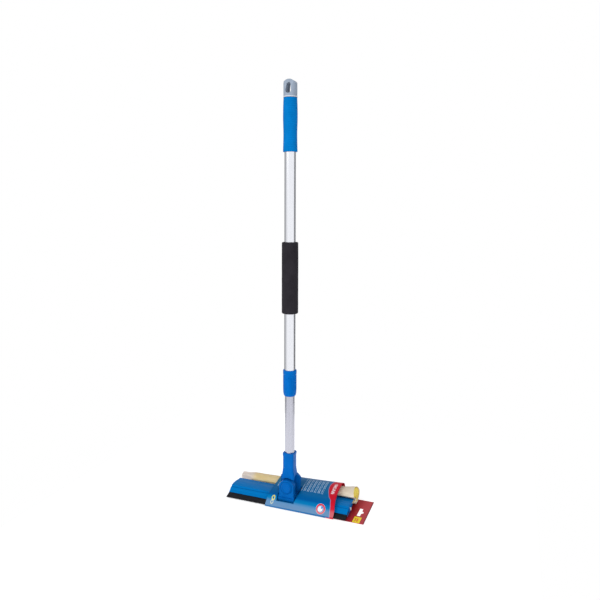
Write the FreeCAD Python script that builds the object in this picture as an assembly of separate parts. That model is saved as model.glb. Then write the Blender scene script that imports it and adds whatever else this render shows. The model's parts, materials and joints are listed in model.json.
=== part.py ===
"""Window washer on a telescopic pole: a swivelling head with a rubber blade in front and a
net-covered sponge roll behind, in a printed wrap with a hang card.

Units are millimetres. X runs along the head, +Y from the blade to the sponge, +Z up the pole.
The origin is on the pole's axis, in the plane that the hang card lies on.
"""
import FreeCAD, Part
import math
import os

V = FreeCAD.Vector
UP = V(0, 0, 1)

# ---- driving dimensions -------------------------------------------------------------------
HEAD_HALF = 122.0            # half the length of the head and of its blade
PIVOT_Z = 34.6               # height of the swivel axis, which runs along Y
CARD_T = 0.6
WRAP_T = 0.5
LIFT = 1.2                   # underside of the head above the card's underside

TUBE_R = 11.0                # outer tube
TUBE_WALL = 0.9
INNER_R = 9.5                # inner tube
INNER_WALL = 1.0
FIT = 0.05                   # radial clearance of a running fit
SOFT_GAP = 0.4               # clearance round a soft piece

SOCKET_TOP = 99.5
SOCKET_HALF = 10.9           # the socket is a square bar with round corners
SOCKET_CORNER = 4.2
INNER_BOTTOM = 64.0
INNER_TOP = 640.0
COLLAR_BOTTOM = 212.0
COLLAR_TOP = 262.7
TUBE_BOTTOM = 236.0
GRIP_BOTTOM = 680.1
CAP_BOTTOM = 781.1
POLE_TOP = 814.6
FOAM_Z = (372.6, 509.9)
FOAM_R = 15.8

FRONT_EAR_Y = (-18.5, -7.0)  # the swivel's front ear, tongue and rear ear
TONGUE_Y = (-6.4, 4.4)
REAR_EAR_Y = (5.0, 11.0)
FRONT_EAR_R = 15.2
REAR_EAR_R = 23.9
REAR_EAR_HALF = 20.3
EAR_HALF = 14.8
SWING_GAP = 0.6              # between the rear ear and the socket that swings over it
SWING_R = 17.0               # the socket's clearance round the front ear and its straight sides
FOOT_HALF = EAR_HALF + 1.6   # the bracket's foot and its pocket in the housing
POCKET_Y = -15.6
PIN_R = 3.0
DIAL_R = 11.6
DIAL_FACE_R = 8.6
DIAL_FRONT = FRONT_EAR_Y[0] - 2.6
DIAL_BACK = FRONT_EAR_Y[0] + 3.0
DIAL_SEAT = DIAL_BACK + 2.8  # the dial travels 2.5 mm before it meets its seat
PIN_FRONT = DIAL_SEAT + 1.6

BEAD = (2.0, 6.8)            # y, z of the channel that holds the sponge's rod
BEAD_R = 2.9
BLADE_BEAD = (-12.5, 6.6)    # y, z of the channel that holds the blade's bead
BLADE_BEAD_R = 2.4
RELIEF = (-5.2, 7.4)         # y, z of the hollow beside the blade
RELIEF_R = 2.4
SCREW_X = (-9.0, 9.0)        # the bracket's screws come up through that hollow
SCREW_Y = RELIEF[0]
SCREW_R = 1.6
SCREW_HEAD_R = 2.9
SOCKET_SCREW_R = 1.5
SOCKET_SCREW_Z = 82.0

WRAP_X = (-38.0, 99.0)
CARD_X = (-38.0, 156.0)
CARD_Y = (-31.5, 54.1)
SLOT_CENTRE = (139.9, 7.9)
SLOT_SIZE = (6.5, 28.4)      # Euro slot, across X and along Y

# Ellipses of the roll along X: x, centre y, centre z, half width, half height.
ROLL = (
    (-97.0, 44.0, 12.3, 12.6, 9.3),
    (-38.0, 44.0, 12.4, 14.0, 10.2),
    (99.0, 40.0, 14.2, 20.0, 11.6),
    (126.0, 39.5, 16.2, 21.5, 14.6),
)
NET_T = 0.8
NET_END = (-122.0, 46.5, 12.0, 11.0, 7.8)
FLANK = [(31.6, 12.9), (18.0, 19.6), (4.0, 19.6), (4.0, 10.0)]   # keeps the roll off the head's top


# ---- shape helpers ------------------------------------------------------------------------
def polygon(points):
    return Part.makePolygon(points + [points[0]])


def prism_x(outline, x0, x1):
    """Solid along X with an outline given as y, z points."""
    face = Part.Face(polygon([V(x0, y, z) for y, z in outline]))
    return face.extrude(V(x1 - x0, 0, 0))


def prism_y(outline, y0, y1):
    """Solid along Y with an outline given as x, z points."""
    face = Part.Face(polygon([V(x, y0, z) for x, z in outline]))
    return face.extrude(V(0, y1 - y0, 0))


def prism_z(outline, z0, z1):
    """Solid along Z with an outline given as x, y points."""
    face = Part.Face(polygon([V(x, y, z0) for x, y in outline]))
    return face.extrude(V(0, 0, z1 - z0))


def block(x, y, z):
    return Part.makeBox(x[1] - x[0], y[1] - y[0], z[1] - z[0], V(x[0], y[0], z[0]))


def rod_x(radius, y, z, x0, x1):
    return Part.makeCylinder(radius, x1 - x0, V(x0, y, z), V(1, 0, 0))


def rod_y(radius, x, z, y0, y1):
    return Part.makeCylinder(radius, y1 - y0, V(x, y0, z), V(0, 1, 0))


def rod_z(radius, z0, z1, x=0.0, y=0.0):
    return Part.makeCylinder(radius, z1 - z0, V(x, y, z0), UP)


def turned(profile):
    """Solid of revolution about the pole's axis, from radius, z points."""
    face = Part.Face(polygon([V(r, 0, z) for r, z in profile]))
    return face.revolve(V(0, 0, 0), UP, 360)


def turned_spline(edge, inner):
    """Sleeve whose outside follows a smooth curve and whose inside follows inner, as r, z points."""
    curve = Part.BSplineCurve()
    curve.interpolate([V(r, 0, z) for r, z in edge])
    path = [V(edge[-1][0], 0, edge[-1][1])] + [V(r, 0, z) for r, z in inner]
    path.append(V(edge[0][0], 0, edge[0][1]))
    wire = Part.Wire([curve.toShape()] + Part.makePolygon(path).Edges)
    return Part.Face(wire).revolve(V(0, 0, 0), UP, 360)


def fused(shapes):
    shape = shapes[0]
    for other in shapes[1:]:
        shape = shape.fuse(other)
    return shape.removeSplitter()


def grown(outline, amount):
    """A closed outline moved outwards by amount."""
    wire = polygon([V(y, z, 0) for y, z in outline])
    moved = wire.makeOffset2D(amount, 2)
    return [(v.X, v.Y) for v in moved.OrderedVertexes]


# ---- head ---------------------------------------------------------------------------------
HOUSING = [
    (-20.6, 6.6), (-16.0, 9.6), (-13.0, 12.9), (-9.6, 12.6), (-8.0, 15.6),
    (0.0, 16.0), (10.0, 15.5), (19.0, 14.0), (30.0, 12.7), (32.0, 10.2), (22.0, 8.4),
    (15.0, 5.0), (8.0, 2.4), (-2.0, LIFT), (-18.5, LIFT), (-19.8, 2.2),
]
BLADE = [
    (-33.0, 2.3), (-20.4, 5.7), (-15.0, 7.3), (-13.0, 7.9), (-12.5, 5.3),
    (-15.0, 4.7), (-19.8, 2.9), (-32.6, LIFT),
]
TAIL_SLOT = [(3.0, 6.5), (21.0, 9.8), (34.0, 10.8), (34.0, 12.2), (20.0, 11.3), (3.0, 8.1)]
TAIL = [(4.6, 7.2), (21.0, 10.2), (30.9, 11.0), (30.9, 11.6), (20.0, 10.9), (4.6, 7.9)]


def bracket_foot():
    """Foot of the swivel bracket, which drops into a pocket of the housing."""
    return prism_x(
        [(-21.0, 9.4), (-21.0, 14.6), (-20.4, 15.2), (FRONT_EAR_Y[0], 15.2),
         (FRONT_EAR_Y[0], 18.0), (12.0, 18.0), (12.0, 10.6), (POCKET_Y, 10.6)],
        -FOOT_HALF, FOOT_HALF)


def head_housing():
    shape = prism_x(HOUSING, -HEAD_HALF, HEAD_HALF)
    shape = shape.cut(prism_x(grown(BLADE, 0.3), -HEAD_HALF - 1, HEAD_HALF + 1))
    shape = shape.cut(rod_x(BLADE_BEAD_R + 0.3, *BLADE_BEAD, -HEAD_HALF - 1, HEAD_HALF + 1))
    shape = shape.cut(rod_x(BEAD_R, *BEAD, -HEAD_HALF - 1, HEAD_HALF + 1))
    shape = shape.cut(prism_x(TAIL_SLOT, -HEAD_HALF - 1, HEAD_HALF + 1))
    shape = shape.cut(rod_x(RELIEF_R, *RELIEF, -HEAD_HALF - 1, HEAD_HALF + 1))
    shape = shape.cut(block((-FOOT_HALF, FOOT_HALF), (POCKET_Y, 12.0), (10.6, 20.0)))
    for x in SCREW_X:
        shape = shape.cut(rod_z(SCREW_R, 0, 20, x, SCREW_Y))
        shape = shape.cut(rod_z(SCREW_HEAD_R + 0.3, 0, 3.4, x, SCREW_Y))
    return shape


def squeegee_blade():
    strip = prism_x(BLADE, -HEAD_HALF, HEAD_HALF)
    bead = rod_x(BLADE_BEAD_R, *BLADE_BEAD, -HEAD_HALF, HEAD_HALF)
    return fused([strip, bead])


def blade_stops():
    """Small plugs pressed into the hollow beside the blade, one at each end."""
    plugs = []
    for side in (-1, 1):
        end = side * HEAD_HALF
        inner = end - side * 9.0
        lip = end + side * 1.2
        plug = rod_x(RELIEF_R - FIT, *RELIEF, min(end, inner), max(end, inner))
        flange = rod_x(RELIEF_R + 1.2, *RELIEF, min(end, lip), max(end, lip))
        plugs.append(fused([plug, flange]))
    return Part.makeCompound(plugs)


def bracket_screws():
    screws = []
    for x in SCREW_X:
        shank = rod_z(SCREW_R, 3.0, 16.0, x, SCREW_Y)
        head = rod_z(SCREW_HEAD_R, 1.6, 3.4, x, SCREW_Y)
        drive = block((x - 0.4, x + 0.4), (SCREW_Y - 1.8, SCREW_Y + 1.8), (1.5, 2.4))
        screws.append(fused([shank, head]).cut(drive))
    return Part.makeCompound(screws)


def roll_loft(stations, shrink):
    wires = []
    for x, y, z, a, b in stations:
        ellipse = Part.Ellipse(V(x, y, z), a - shrink, b - shrink)
        ellipse.Axis = V(1, 0, 0)
        ellipse.XAxis = V(0, 1, 0)
        wires.append(Part.Wire([ellipse.toShape()]))
    return Part.makeLoft(wires, True, True)


def housing_room():
    """The head and a little more: the space that the soft roll leaves free."""
    room = prism_x(grown(HOUSING, SOFT_GAP), -HEAD_HALF - 1, HEAD_HALF + 20)
    return room.fuse(prism_x(FLANK, -HEAD_HALF - 1, HEAD_HALF + 20))


def sponge_core():
    return roll_loft(ROLL, NET_T + SOFT_GAP).cut(housing_room())


def sponge_net():
    """Net sleeve round the roll, with the tail that runs into the housing's rear channel."""
    outer = roll_loft((NET_END,) + ROLL, 0.0)
    inner = roll_loft((NET_END,) + ROLL, NET_T)
    shell = outer.cut(inner).cut(housing_room())
    solids = sorted(shell.Solids, key=lambda s: s.Volume)
    return solids[-1]


def sponge_tail():
    """Sewn hem of the net, from the roll to the rod in the channel."""
    return prism_x(TAIL, -HEAD_HALF + 2.0, HEAD_HALF + 4.0)


def sponge_rod():
    return rod_x(BEAD_R - 0.4, *BEAD, -HEAD_HALF + 1.0, HEAD_HALF + 2.0)


# ---- swivel -------------------------------------------------------------------------------
def arch(half, radius, bottom, y0, y1):
    """Upright plate with a round top about the swivel axis."""
    disc = rod_y(radius, 0, PIVOT_Z, y0, y1)
    body = block((-half, half), (y0, y1), (bottom, PIVOT_Z))
    upper = disc.common(block((-half, half), (y0, y1), (PIVOT_Z, PIVOT_Z + radius + 1)))
    return fused([body, upper])


def pivot_bracket():
    front = arch(EAR_HALF, FRONT_EAR_R, 17.0, *FRONT_EAR_Y)
    ear = rod_y(REAR_EAR_R, 0, PIVOT_Z, *REAR_EAR_Y)
    ear = ear.common(block((-REAR_EAR_HALF, REAR_EAR_HALF), REAR_EAR_Y, (15.5, 80)))
    for k in range(-3, 4):
        a = math.radians(90 + 9 * k)
        ridge = rod_y(0.6, FRONT_EAR_R * math.cos(a), PIVOT_Z + FRONT_EAR_R * math.sin(a),
                      FRONT_EAR_Y[0] - 1, FRONT_EAR_Y[1] + 1)
        front = front.cut(ridge)
    rim = rod_y(REAR_EAR_R - 3.0, 0, PIVOT_Z, REAR_EAR_Y[1] - 1.2, REAR_EAR_Y[1] + 1)
    rim = rim.cut(rod_y(9.0, 0, PIVOT_Z, 0, 20)).cut(block((-40, 40), (0, 20), (0, 19.0)))
    shape = fused([bracket_foot(), front, ear.cut(rim)])
    shape = shape.cut(rod_y(PIN_R, 0, PIVOT_Z, PIN_FRONT, 20))
    shape = shape.cut(rod_y(DIAL_R + 0.4, 0, PIVOT_Z, DIAL_FRONT, DIAL_SEAT))
    ring = rod_y(6.9, 0, PIVOT_Z, DIAL_SEAT - 1, DIAL_SEAT + 2.5)
    shape = shape.cut(ring.cut(rod_y(4.4, 0, PIVOT_Z, DIAL_SEAT - 1, DIAL_SEAT + 2.5)))
    shape = shape.cut(rod_y(PIN_R + 0.2, 0, PIVOT_Z, DIAL_SEAT - 1, PIN_FRONT))
    for x in SCREW_X:
        shape = shape.cut(rod_z(SCREW_R, 10, 16.0, x, SCREW_Y))
    return shape


def pivot_pin():
    return rod_y(PIN_R, 0, PIVOT_Z, PIN_FRONT, 13.8)


def pivot_nut():
    hexagon = [(6.0 * math.cos(math.radians(a)), PIVOT_Z + 6.0 * math.sin(math.radians(a)))
               for a in range(0, 360, 60)]
    nut = prism_y(hexagon, REAR_EAR_Y[1], 15.4)
    return nut.cut(rod_y(PIN_R, 0, PIVOT_Z, REAR_EAR_Y[1] - 1, 13.8))


def thrust_washers():
    """One thin washer each side of the tongue."""
    gaps = ((FRONT_EAR_Y[1], TONGUE_Y[0]), (TONGUE_Y[1], REAR_EAR_Y[0]))
    rings = []
    for low, high in gaps:
        ring = rod_y(8.0, 0, PIVOT_Z, low + 0.1, high - 0.1)
        rings.append(ring.cut(rod_y(PIN_R + FIT, 0, PIVOT_Z, low - 1, high + 1)))
    return Part.makeCompound(rings)


def release_button():
    """Round dial of the swivel lock, pushed in against its spring."""
    plate_y = FRONT_EAR_Y[0]
    disc = rod_y(DIAL_R, 0, PIVOT_Z, plate_y - 0.3, DIAL_BACK)
    boss = Part.makeCone(DIAL_FACE_R, DIAL_R - 0.8, plate_y - 0.3 - DIAL_FRONT,
                         V(0, DIAL_FRONT, PIVOT_Z), V(0, 1, 0))
    dish = Part.makeCone(DIAL_FACE_R - 1.2, DIAL_FACE_R - 1.8, 0.6,
                         V(0, DIAL_FRONT, PIVOT_Z), V(0, 1, 0))
    stem = rod_y(2.6, 0, PIVOT_Z, DIAL_BACK - 0.5, DIAL_BACK + 1.6)
    return fused([disc, boss.cut(dish), stem])


def button_spring():
    """Coil spring behind the dial, made of half turns."""
    radius, wire, pitch, halves = 5.6, 0.4, 1.7, 5
    helix = Part.makeHelix(pitch, pitch / 2, radius)
    section = Part.Wire([Part.Circle(V(radius, 0, 0), V(0, 1, 0), wire).toShape()])
    half = Part.Wire(helix.Edges).makePipeShell([section], True, True)
    turns = []
    for k in range(halves):
        turn = half.copy()
        turn.rotate(V(0, 0, 0), UP, 180 * k)
        turn.translate(V(0, 0, pitch / 2 * k))
        turns.append(turn)
    coil = turns[0].fuse(turns[1:])
    coil.rotate(V(0, 0, 0), V(1, 0, 0), -90)
    coil.translate(V(0, DIAL_BACK + 0.6, PIVOT_Z))
    return coil


def square_wire(half, corner, z):
    """Square with round corners, level at z."""
    inner = half - corner
    diagonal = inner + corner * math.sqrt(0.5)
    edges = []
    for k in range(4):
        turn = FreeCAD.Rotation(UP, 90 * k)
        spots = [turn.multVec(V(x, y, 0)) + V(0, 0, z) for x, y in
                 ((half, -inner), (half, inner), (diagonal, diagonal), (inner, half))]
        edges += [Part.makeLine(spots[0], spots[1]), Part.Arc(*spots[1:]).toShape()]
    return Part.Wire(edges)


def square_bar(levels):
    """Bar through level squares, given as z, half width, corner radius."""
    return Part.makeLoft([square_wire(half, corner, z) for z, half, corner in levels], True, True)


def handle_socket():
    """Tube socket whose lower end is cut round the two ears and goes on as a tongue."""
    half, corner = SOCKET_HALF, SOCKET_CORNER
    body = square_bar(((PIVOT_Z, half, corner), (92.0, half, corner), (96.0, half + 0.6, corner),
                       (SOCKET_TOP - 0.8, half + 0.6, corner), (SOCKET_TOP, half, corner)))
    flare = square_bar(((49.0, half + 1.7, corner), (55.0, half + 1.7, corner),
                        (61.0, half + 0.9, corner), (70.0, half, corner)))
    shape = fused([body, flare])
    front_room = rod_y(SWING_R, 0, PIVOT_Z, -30, TONGUE_Y[0])
    rear_room = rod_y(REAR_EAR_R + SWING_GAP, 0, PIVOT_Z, TONGUE_Y[1], 30)
    shape = shape.cut(front_room).cut(rear_room)
    for side in (-1, 1):
        shape = shape.cut(block(tuple(sorted((side * 9.0, side * 30.0))), TONGUE_Y, (0, 54.0)))
    tongue = rod_y(9.0, 0, PIVOT_Z, *TONGUE_Y)
    shape = fused([shape, tongue])
    below = block((-30, 30), (-30, 30), (0, PIVOT_Z)).cut(rod_y(9.0, 0, PIVOT_Z, -40, 40))
    shape = shape.cut(below)
    shape = shape.cut(rod_y(PIN_R + FIT, 0, PIVOT_Z, -40, 40))
    shape = shape.cut(rod_z(INNER_R + FIT, INNER_BOTTOM, SOCKET_TOP + 1))
    return shape.cut(rod_y(SOCKET_SCREW_R, 0, SOCKET_SCREW_Z, 0, 30))


def socket_screw():
    """Pan-head screw from behind that holds the inner tube in its socket."""
    shank = rod_y(SOCKET_SCREW_R, 0, SOCKET_SCREW_Z, 7.0, SOCKET_HALF + 0.3)
    head = rod_y(3.2, 0, SOCKET_SCREW_Z, SOCKET_HALF, SOCKET_HALF + 1.9)
    slot = block((-2.4, 2.4), (SOCKET_HALF + 1.1, SOCKET_HALF + 2.5), (SOCKET_SCREW_Z - 0.4, SOCKET_SCREW_Z + 0.4))
    return fused([shank, head]).cut(slot)


# ---- pole ---------------------------------------------------------------------------------
def tube(outer, inner, z0, z1):
    return rod_z(outer, z0, z1).cut(rod_z(inner, z0 - 1, z1 + 1))


def inner_tube():
    shape = tube(INNER_R, INNER_R - INNER_WALL, INNER_BOTTOM, INNER_TOP)
    return shape.cut(rod_y(SOCKET_SCREW_R, 0, SOCKET_SCREW_Z, 0, 30))


def guide_bush():
    """Plastic plug on the inner tube's top, which slides inside the outer tube."""
    bore = TUBE_R - TUBE_WALL
    return fused([
        rod_z(INNER_R - INNER_WALL, INNER_TOP - 18, INNER_TOP),
        rod_z(bore - FIT, INNER_TOP, INNER_TOP + 12)]).cut(rod_z(5.0, INNER_TOP - 20, INNER_TOP + 8))


def lock_collet():
    """Slit collet under the outer tube, which the collar squeezes onto the inner tube."""
    bore = INNER_R + FIT
    shape = turned([
        (bore, 216), (10.9, 216), (12.0, 224), (12.0, TUBE_BOTTOM),
        (TUBE_R - TUBE_WALL, TUBE_BOTTOM), (TUBE_R - TUBE_WALL, 256), (bore, 256)])
    for k in range(4):
        slit = block((8, 13), (-0.6, 0.6), (215, 231))
        slit.rotate(V(0, 0, 0), UP, 45 + 90 * k)
        shape = shape.cut(slit)
    return shape


def lock_collar():
    """Twist collar: rounded below, with a flared lip on top."""
    outside = [
        (10.7, COLLAR_BOTTOM), (11.9, 214.0), (12.7, 218.5), (13.0, 224.0), (13.0, 251.5),
        (12.8, 252.3), (12.8, 254.3), (13.2, 255.2), (13.2, 261.2), (12.5, COLLAR_TOP)]
    inside = [
        (TUBE_R + 0.3, COLLAR_TOP), (TUBE_R + 0.3, 237.5), (12.1, 237.5), (12.1, 224.6),
        (11.1, 215.0), (INNER_R + 0.4, 215.0), (INNER_R + 0.4, COLLAR_BOTTOM)]
    shape = turned(outside + inside)
    for k in range(24):
        flute = rod_z(0.55, 226.0, 250.0, 13.2, 0)
        flute.rotate(V(0, 0, 0), UP, 15 * k + 7.5)
        shape = shape.cut(flute)
    return shape


def outer_tube():
    return tube(TUBE_R, TUBE_R - TUBE_WALL, TUBE_BOTTOM, CAP_BOTTOM - 4)


def foam_grip():
    low, high = FOAM_Z
    shape = tube(FOAM_R, TUBE_R + SOFT_GAP, low, high)
    edges = [e for e in shape.Edges if e.Closed and e.BoundBox.XMax > FOAM_R - 0.2
             and e.BoundBox.ZLength < 0.01]
    return shape.makeFillet(2.6, edges)


def hand_grip():
    outside = [(13.95, GRIP_BOTTOM), (13.55, 690.0), (13.05, 713.0), (13.45, 729.0),
               (13.8, 743.0), (13.6, 762.0), (13.05, CAP_BOTTOM)]
    inside = [(TUBE_R + FIT, CAP_BOTTOM), (TUBE_R + FIT, GRIP_BOTTOM)]
    return turned_spline(outside, inside)


CAP_R = 13.1
HOLE_R = 5.7
HOLE_Z = (793.6, 804.0)      # centres of the round ends of the hanging hole


def hanging_cap():
    """End cap with an arched top, thinner towards the top, and a pear-shaped hole."""
    arch_z = POLE_TOP - CAP_R
    column = rod_z(CAP_R, CAP_BOTTOM, POLE_TOP)
    outline = fused([
        block((-CAP_R, CAP_R), (-20, 20), (CAP_BOTTOM, arch_z)),
        rod_y(CAP_R, 0, arch_z, -20, 20)])
    taper = prism_x([(-CAP_R, CAP_BOTTOM), (-CAP_R, CAP_BOTTOM + 7), (-8.5, POLE_TOP),
                     (8.5, POLE_TOP), (CAP_R, CAP_BOTTOM + 7), (CAP_R, CAP_BOTTOM)], -20, 20)
    shape = column.common(outline).common(taper)
    low, high = HOLE_Z
    hole = fused([
        rod_y(HOLE_R, 0, low, -20, 20), rod_y(HOLE_R - 1.6, 0, high, -20, 20),
        prism_y([(-HOLE_R, low), (HOLE_R, low), (HOLE_R - 1.6, high), (1.6 - HOLE_R, high)],
                -20, 20)])
    spigot = rod_z(TUBE_R - TUBE_WALL - FIT, CAP_BOTTOM - 18, CAP_BOTTOM)
    collar = rod_z(TUBE_R, CAP_BOTTOM - 3.5, CAP_BOTTOM)
    return fused([shape.cut(hole), spigot, collar]).cut(rod_z(7.5, CAP_BOTTOM - 20, CAP_BOTTOM - 3))


# ---- packaging ----------------------------------------------------------------------------
WRAP_LEFT = [(-35.6, 1.3), (-26.8, 8.6), (-20.6, 17.2), (-11.2, 20.2), (10.1, 23.4),
             (36.7, 26.4), (50.4, 25.2), (61.0, 20.0), (64.0, 11.0), (61.0, 3.0), (55.0, CARD_T)]
WRAP_RIGHT = [(-35.8, 2.0), (-26.4, 8.2), (-20.2, 17.0), (-12.9, 22.6), (5.0, 27.6),
              (33.3, 31.8), (49.0, 31.6), (61.0, 25.0), (65.0, 14.0), (61.0, 3.0), (55.0, CARD_T)]
WRAP_FLOOR_FRONT = (-35.0, CARD_T)
WINDOW = [(-17.6, -40), (17.6, -40), (17.6, -24), (22.3, -16), (22.3, 13.5),
          (-22.3, 13.5), (-22.3, -4), (-17.6, -8)]
WINDOW_Z = 10.0              # the window starts this high on the front slope


def wrap_loft(outline_left, outline_right, shrink):
    wires = []
    for x, outline in zip(WRAP_X, (outline_left, outline_right)):
        points = grown(outline + [WRAP_FLOOR_FRONT], -shrink) if shrink else (
            outline + [WRAP_FLOOR_FRONT])
        wires.append(polygon([V(x, y, z) for y, z in points]))
    return wires


def printed_wrap():
    """Printed film wrap round the head, open at both ends, with a window for the swivel."""
    outer = Part.makeLoft(wrap_loft(WRAP_LEFT, WRAP_RIGHT, 0.0), True, True)
    inner = Part.makeLoft(wrap_loft(WRAP_LEFT, WRAP_RIGHT, WRAP_T), True, True)
    window = prism_z(WINDOW, WINDOW_Z, 60.0)
    return outer.cut(inner).cut(window)


def hang_card():
    card = block(CARD_X, CARD_Y, (0, CARD_T))
    x, y = SLOT_CENTRE
    w, length = SLOT_SIZE
    slot = fused([
        block((x - w / 2, x + w / 2), (y - length / 2, y + length / 2), (-1, 2)),
        rod_z(4.6, -1, 2, x + 2.4, y)])
    return card.cut(slot)


def price_sticker():
    return block((134.4, 147.9), (-31.3, -10.6), (CARD_T, CARD_T + 0.3))


NODES = {
    "head_housing": head_housing,
    "squeegee_blade": squeegee_blade,
    "blade_stops": blade_stops,
    "bracket_screws": bracket_screws,
    "sponge_core": sponge_core,
    "sponge_net": sponge_net,
    "sponge_tail": sponge_tail,
    "sponge_rod": sponge_rod,
    "pivot_bracket": pivot_bracket,
    "pivot_pin": pivot_pin,
    "pivot_nut": pivot_nut,
    "thrust_washers": thrust_washers,
    "release_button": release_button,
    "button_spring": button_spring,
    "handle_socket": handle_socket,
    "socket_screw": socket_screw,
    "inner_tube": inner_tube,
    "guide_bush": guide_bush,
    "lock_collet": lock_collet,
    "lock_collar": lock_collar,
    "outer_tube": outer_tube,
    "foam_grip": foam_grip,
    "hand_grip": hand_grip,
    "hanging_cap": hanging_cap,
    "printed_wrap": printed_wrap,
    "hang_card": hang_card,
    "price_sticker": price_sticker,
}

os.makedirs("parts", exist_ok=True)
for name, make in NODES.items():
    shape = make()
    shape.exportStep("parts/" + name + ".step")
    box = shape.BoundBox
    print(f"{name:16s} solids {len(shape.Solids)} valid {shape.isValid()} "
          f"volume {shape.Volume:10.1f}  x {box.XMin:7.1f} {box.XMax:7.1f}"
          f"  y {box.YMin:6.1f} {box.YMax:6.1f}  z {box.ZMin:6.1f} {box.ZMax:6.1f}")
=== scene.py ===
import json
import math

import bmesh
import bpy
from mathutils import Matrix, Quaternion, Vector, noise


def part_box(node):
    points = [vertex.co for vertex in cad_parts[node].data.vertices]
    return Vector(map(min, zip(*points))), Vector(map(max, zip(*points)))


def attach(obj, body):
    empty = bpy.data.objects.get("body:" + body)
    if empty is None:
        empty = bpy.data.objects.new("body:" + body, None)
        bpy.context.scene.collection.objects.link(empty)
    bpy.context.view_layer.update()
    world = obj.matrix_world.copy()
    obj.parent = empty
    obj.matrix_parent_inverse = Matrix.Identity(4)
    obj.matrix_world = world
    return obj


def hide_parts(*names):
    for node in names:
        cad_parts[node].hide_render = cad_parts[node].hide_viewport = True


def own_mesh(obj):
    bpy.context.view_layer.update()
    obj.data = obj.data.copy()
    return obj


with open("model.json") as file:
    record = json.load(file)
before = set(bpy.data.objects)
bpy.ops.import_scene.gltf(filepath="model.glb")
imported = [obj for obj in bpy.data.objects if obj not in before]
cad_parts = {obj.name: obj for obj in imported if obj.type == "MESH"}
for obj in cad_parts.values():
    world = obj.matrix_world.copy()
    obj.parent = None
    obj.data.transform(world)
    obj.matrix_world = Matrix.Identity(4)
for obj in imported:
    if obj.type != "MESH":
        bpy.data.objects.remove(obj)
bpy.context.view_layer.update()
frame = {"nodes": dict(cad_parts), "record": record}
MM = 0.001                       # lengths below are in millimetres unless a name says otherwise
FLOOR_SIDE = 0.9                 # metres: small, so that the tubes mirror the walls, not the floor
FLOOR_TOP = -0.0003              # metres: just under the card
NET_THICK, HEM_THICK, FILM_THICK = 0.5, 0.45, 0.3
WHITE = (1.0, 1.0, 1.0, 1.0)
SKY = (0.1, 0.45, 1.0, 1.0)      # blue plastic mirrors white light a little blue
CORNERS = 12                     # the wrap's outline has this many corners; its UV v counts them
TO_BACK = Vector((0, 1, 0))      # the way the dial is pressed


# ---- camera, light and floor ---------------------------------------------------------------
def aim_camera():
    """Camera a little above the middle of the pole, to the right of the head's front."""
    yaw, pitch, roll = math.radians(21.05), math.radians(3.86), 0.00196
    forward = Vector((-math.sin(yaw) * math.cos(pitch), math.cos(yaw) * math.cos(pitch),
                      -math.sin(pitch)))
    data = bpy.data.cameras.new("camera")
    data.sensor_width = 36.0
    data.lens = 35.16
    data.shift_x = 0.0165
    data.shift_y = -0.0922
    data.clip_start, data.clip_end = 0.01, 50.0
    camera = bpy.data.objects.new("camera", data)
    bpy.context.scene.collection.objects.link(camera)
    camera.location = (0.4005, -1.0406, 0.580)
    camera.rotation_mode = "QUATERNION"
    turn = Quaternion((0, 0, 1), roll)
    camera.rotation_quaternion = forward.to_track_quat("-Z", "Y") @ turn
    bpy.context.scene.camera = camera


def area_light(name, place, target, size, power):
    """Rectangular lamp at place, aimed at target."""
    data = bpy.data.lights.new(name, "AREA")
    data.shape = "RECTANGLE"
    data.size, data.size_y = size
    data.energy = power
    lamp = bpy.data.objects.new(name, data)
    bpy.context.scene.collection.objects.link(lamp)
    lamp.location = place
    lamp.rotation_mode = "QUATERNION"
    lamp.rotation_quaternion = (Vector(target) - Vector(place)).to_track_quat("-Z", "Y")


def fill_ramp(ramp, stops):
    """Sets a ramp's stops, given in rising order as position and a colour or a grey level."""
    while len(ramp.elements) > 1:
        ramp.elements.remove(ramp.elements[-1])
    for number, (position, colour) in enumerate(stops):
        element = ramp.elements.new(position) if number else ramp.elements[0]
        element.position = position
        element.color = (*colour, 1.0) if hasattr(colour, "__len__") else (colour,) * 3 + (1.0,)


def light_studio():
    """White all round, with greyer walls behind the object that the tubes mirror."""
    world = bpy.data.worlds.new("studio")
    world.use_nodes = True
    tree = world.node_tree
    background = tree.nodes["Background"]

    def add(kind, **settings):
        made = tree.nodes.new("ShaderNode" + kind)
        for key, value in settings.items():
            setattr(made, key, value)
        return made

    place, axes = add("TexCoord"), add("SeparateXYZ")
    turn = add("Math", operation="ARCTAN2")
    share = add("MapRange")
    walls = add("ValToRGB")
    seen = add("LightPath")
    pick = add("Mix", data_type="RGBA")
    links = (
        (place.outputs["Generated"], axes.inputs[0]),
        (axes.outputs["Y"], turn.inputs[0]), (axes.outputs["X"], turn.inputs[1]),
        (turn.outputs[0], share.inputs["Value"]),
        (share.outputs["Result"], walls.inputs[0]),
        (seen.outputs["Is Camera Ray"], pick.inputs["Factor"]),
        (walls.outputs[0], pick.inputs[6]),
        (pick.outputs[2], background.inputs["Color"]))
    for start, end in links:
        tree.links.new(start, end)
    share.inputs["From Min"].default_value = -math.pi
    share.inputs["From Max"].default_value = math.pi
    pick.inputs[7].default_value = (1, 1, 1, 1)
    # degrees round from +X: the camera side is about -69
    stops = ((-180, 0.42), (-160, 0.6), (-135, 0.9), (-118, 1.0), (8, 1.0), (24, 0.22), (52, 0.12),
             (68, 0.7), (104, 0.9), (128, 0.3), (180, 0.42))
    fill_ramp(walls.color_ramp, [((degrees + 180) / 360, (level * 0.96, level * 0.97, level))
                                 for degrees, level in stops])
    background.inputs["Strength"].default_value = 1.0
    bpy.context.scene.world = world
    area_light("key", (-1.2, -1.7, 1.7), (0, 0, 0.3), (1.0, 1.4), 16)
    bpy.context.scene.view_settings.view_transform = "Standard"


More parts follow.
